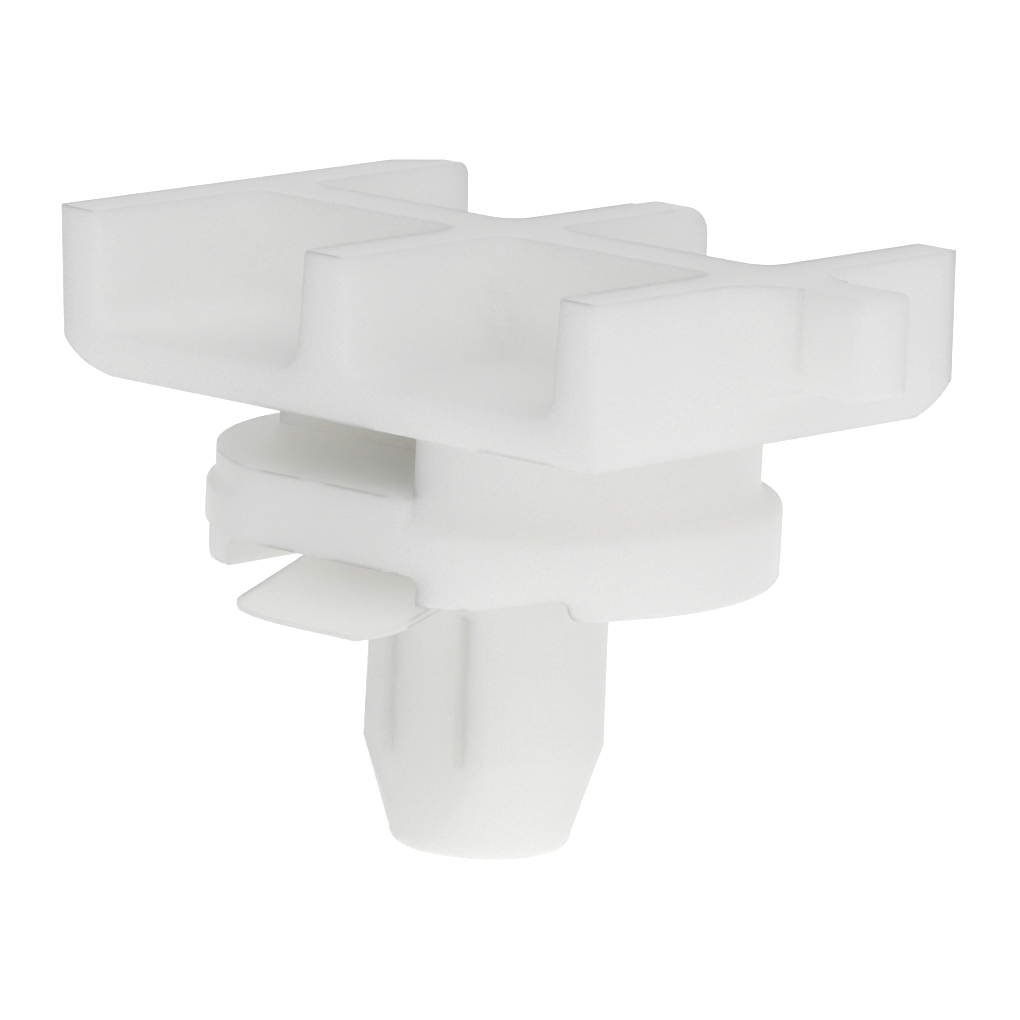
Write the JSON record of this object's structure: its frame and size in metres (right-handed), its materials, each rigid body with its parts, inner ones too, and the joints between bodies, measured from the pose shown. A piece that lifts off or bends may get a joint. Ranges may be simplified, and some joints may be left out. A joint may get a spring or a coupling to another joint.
{
  "type": "molding clip",
  "caption": "Moulded plastic clip with a finned slide head, a round stepped flange, sprung wings and a grooved push-in stem, for fixing trim moulding to a vehicle panel.",
  "frame": {"origin": "on the stem's axis, in the plane of the flange rim's underside, where the clip seats on a panel", "axes": "+Z along the stem axis towards the head, away from the panel; +X along the head's length, from the lead-in fin to the fin with the stub; +Y across the head"},
  "size_m": [0.0286, 0.0202, 0.0214],
  "materials": {
    "nylon": "natural white moulded nylon, soft satin"
  },
  "bodies": {
    "root": {"molding_clip": "nylon"}
  },
  "joints": []
}
